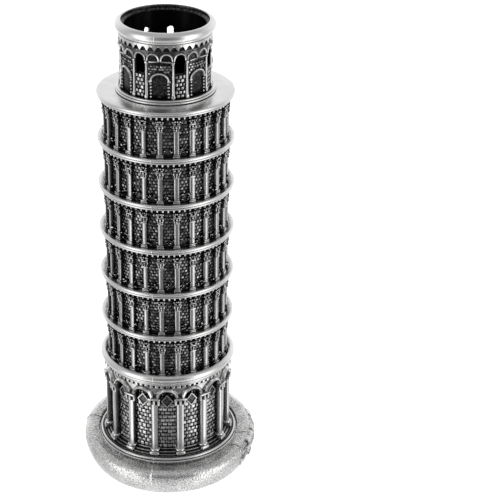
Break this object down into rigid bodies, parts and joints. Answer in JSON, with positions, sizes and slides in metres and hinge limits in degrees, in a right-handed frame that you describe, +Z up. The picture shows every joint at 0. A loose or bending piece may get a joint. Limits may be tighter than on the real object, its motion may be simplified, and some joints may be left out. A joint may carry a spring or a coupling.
{
  "type": "miniature landmark model",
  "caption": "Souvenir model of a leaning round bell tower: stacked arcaded storeys in antiqued silver cast metal on a rounded rock plinth, with an open belfry.",
  "frame": {"origin": "middle of the flat underside of the felt pad, on the surface the model stands on", "axes": "+Z up; the tower leans back towards +Y; -Y is the front"},
  "size_m": [0.0666, 0.0679, 0.1788],
  "materials": {
    "antique_silver": "antiqued silver plate on cast zinc alloy: bright on raised relief, nearly black in the recesses",
    "polished_silver": "silver plate on cast zinc alloy, rubbed bright, with faint casting marks",
    "grained_silver": "silver plate over a sand-grained casting, darkened where it meets the tower",
    "zinc_steel": "zinc-plated stock hardware",
    "felt": "black pressed felt"
  },
  "bodies": {
    "root": {"felt_pad": "felt", "rock_plinth": "grained_silver", "stylobate_ring": "polished_silver", "ground_storey": "antique_silver", "ground_cornice": "polished_silver", "gallery_1": "antique_silver", "cornice_1": "polished_silver", "gallery_2": "antique_silver", "cornice_2": "polished_silver", "gallery_3": "antique_silver", "cornice_3": "polished_silver", "gallery_4": "antique_silver", "cornice_4": "polished_silver", "gallery_5": "antique_silver", "cornice_5": "polished_silver", "gallery_6": "antique_silver", "roof_disc": "polished_silver", "belfry_foot_ring": "polished_silver", "belfry_drum": "antique_silver", "belfry_rim": "polished_silver", "tie_rod": "zinc_steel", "base_nut": "zinc_steel", "lock_washer": "zinc_steel", "base_washer": "zinc_steel"}
  },
  "joints": []
}
